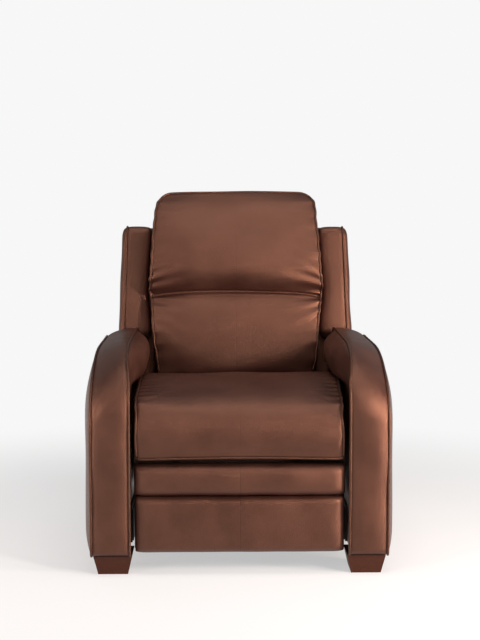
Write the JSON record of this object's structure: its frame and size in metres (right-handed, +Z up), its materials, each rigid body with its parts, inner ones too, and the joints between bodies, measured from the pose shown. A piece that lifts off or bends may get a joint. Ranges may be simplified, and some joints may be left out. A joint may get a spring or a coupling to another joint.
{
  "type": "recliner armchair",
  "caption": "Leather recliner armchair with rounded padded arms, a winged reclining back, a crowned seat and a footrest that swings out from under it.",
  "frame": {"origin": "on the floor, under the middle of the chair's footprint", "axes": "+Z up, the front of the chair faces -Y, +X is to the right seen from the front"},
  "size_m": [0.84, 0.92, 1.035],
  "materials": {
    "leather": "dark red-brown bonded leather, satin",
    "foot_wood": "dark stained block, satin",
    "frame_wood": "plywood, dark stained",
    "mechanism_steel": "black painted flat steel",
    "spring_wire": "drawn wire",
    "bolt_steel": "zinc plated",
    "cover_fabric": "brown lining cloth"
  },
  "bodies": {
    "base": {"arm_band_left": "leather", "arm_band_right": "leather", "arm_frame_left": "frame_wood", "arm_frame_right": "frame_wood", "arm_inner_panel_left": "leather", "arm_inner_panel_right": "leather", "arm_outer_panel_left": "leather", "arm_outer_panel_right": "leather", "foot_front_left": "foot_wood", "foot_front_right": "foot_wood", "foot_rear_left": "foot_wood", "foot_rear_right": "foot_wood", "base_side_rail_left": "frame_wood", "base_side_rail_right": "frame_wood", "base_plate_left": "mechanism_steel", "base_plate_right": "mechanism_steel", "foot_bolts": "bolt_steel", "base_front_rail": "frame_wood", "base_rear_rail": "frame_wood"},
    "rear_seat_links": {"seat_swing_rear_left": "mechanism_steel", "seat_swing_rear_right": "mechanism_steel"},
    "front_seat_links": {"seat_swing_front_left": "mechanism_steel", "seat_swing_front_right": "mechanism_steel"},
    "seat": {"seat_cushion": "leather", "seat_springs": "spring_wire", "seat_front_rail": "frame_wood", "seat_rear_rail": "frame_wood", "seat_front_cover": "cover_fabric", "seat_side_rail_left": "frame_wood", "seat_side_rail_right": "frame_wood", "seat_rail_left": "mechanism_steel", "seat_rail_right": "mechanism_steel"},
    "back": {"back_cushion": "leather", "back_springs": "spring_wire", "back_top_rail": "frame_wood", "back_bottom_rail": "frame_wood", "headrest_block": "leather", "back_rear_panel": "leather", "back_side_blocks": "leather", "back_post_left": "leather", "back_post_right": "leather", "back_bracket_left": "mechanism_steel", "back_bracket_right": "mechanism_steel", "back_wing_left": "leather", "back_wing_right": "leather"},
    "footrest_drive_links": {"footrest_torque_bar": "mechanism_steel", "footrest_drive_link_left": "mechanism_steel", "footrest_drive_link_right": "mechanism_steel"},
    "footrest_mid_links": {"footrest_mid_link_left": "mechanism_steel", "footrest_mid_link_right": "mechanism_steel"},
    "footrest_guide_links": {"footrest_guide_link_left": "mechanism_steel", "footrest_guide_link_right": "mechanism_steel"},
    "footrest_struts": {"footrest_strut_left": "mechanism_steel", "footrest_strut_right": "mechanism_steel"},
    "footrest": {"footrest_board": "frame_wood", "footrest_upper_roll": "leather", "footrest_lower_pad": "leather", "footrest_bracket_left": "mechanism_steel", "footrest_bracket_right": "mechanism_steel"},
    "release": {"release_strap": "leather"}
  },
  "joints": [
    {"name": "recline", "type": "hinge", "parent": "base", "child": "rear_seat_links", "pos_m": [0, 0.04, 0.13], "axis": [1, 0, 0], "range_deg": [0, 45]},
    {"name": "seat_level", "type": "hinge", "parent": "rear_seat_links", "child": "seat", "pos_m": [0, 0.06907, 0.20987], "axis": [1, 0, 0], "range_deg": [-45, 0]},
    {"name": "front_swing", "type": "hinge", "parent": "base", "child": "front_seat_links", "pos_m": [0, -0.27, 0.13], "axis": [1, 0, 0], "range_deg": [0, 45]},
    {"name": "back_recline", "type": "hinge", "parent": "seat", "child": "back", "pos_m": [0, 0.14, 0.3], "axis": [-1, 0, 0], "range_deg": [0, 30]},
    {"name": "footrest_extend", "type": "hinge", "parent": "seat", "child": "footrest_drive_links", "pos_m": [0, -0.355, 0.232], "axis": [-1, 0, 0], "range_deg": [0, 93]},
    {"name": "footrest_knee", "type": "hinge", "parent": "footrest_drive_links", "child": "footrest_mid_links", "pos_m": [0, -0.36807, 0.08257], "axis": [-1, 0, 0], "range_deg": [-153, 0]},
    {"name": "footrest_turn", "type": "hinge", "parent": "footrest_mid_links", "child": "footrest", "pos_m": [0, -0.375, 0.262], "axis": [-1, 0, 0], "range_deg": [0, 142]},
    {"name": "footrest_guide", "type": "hinge", "parent": "seat", "child": "footrest_guide_links", "pos_m": [0, -0.3258, 0.2524], "axis": [-1, 0, 0], "range_deg": [0, 85]},
    {"name": "footrest_strut_swing", "type": "hinge", "parent": "footrest_drive_links", "child": "footrest_struts", "pos_m": [0, -0.36982, 0.06265], "axis": [-1, 0, 0], "range_deg": [-153, 0]},
    {"name": "strap_pull", "type": "slide", "parent": "seat", "child": "release", "axis": [0, 0, 1], "range_m": [0, 0.02], "stiffness_N_per_m": 400}
  ],
  "couplings": [
    {"joint": "seat_level", "follows": "recline", "ratio": -1},
    {"joint": "front_swing", "follows": "recline", "ratio": 1},
    {"joint": "back_recline", "follows": "recline", "ratio": 0.666},
    {"joint": "footrest_knee", "follows": "footrest_extend", "ratio": -1.6429},
    {"joint": "footrest_turn", "follows": "footrest_extend", "ratio": 1.5246},
    {"joint": "footrest_guide", "follows": "footrest_extend", "ratio": 0.91183},
    {"joint": "footrest_strut_swing", "follows": "footrest_extend", "ratio": -1.6344}
  ]
}
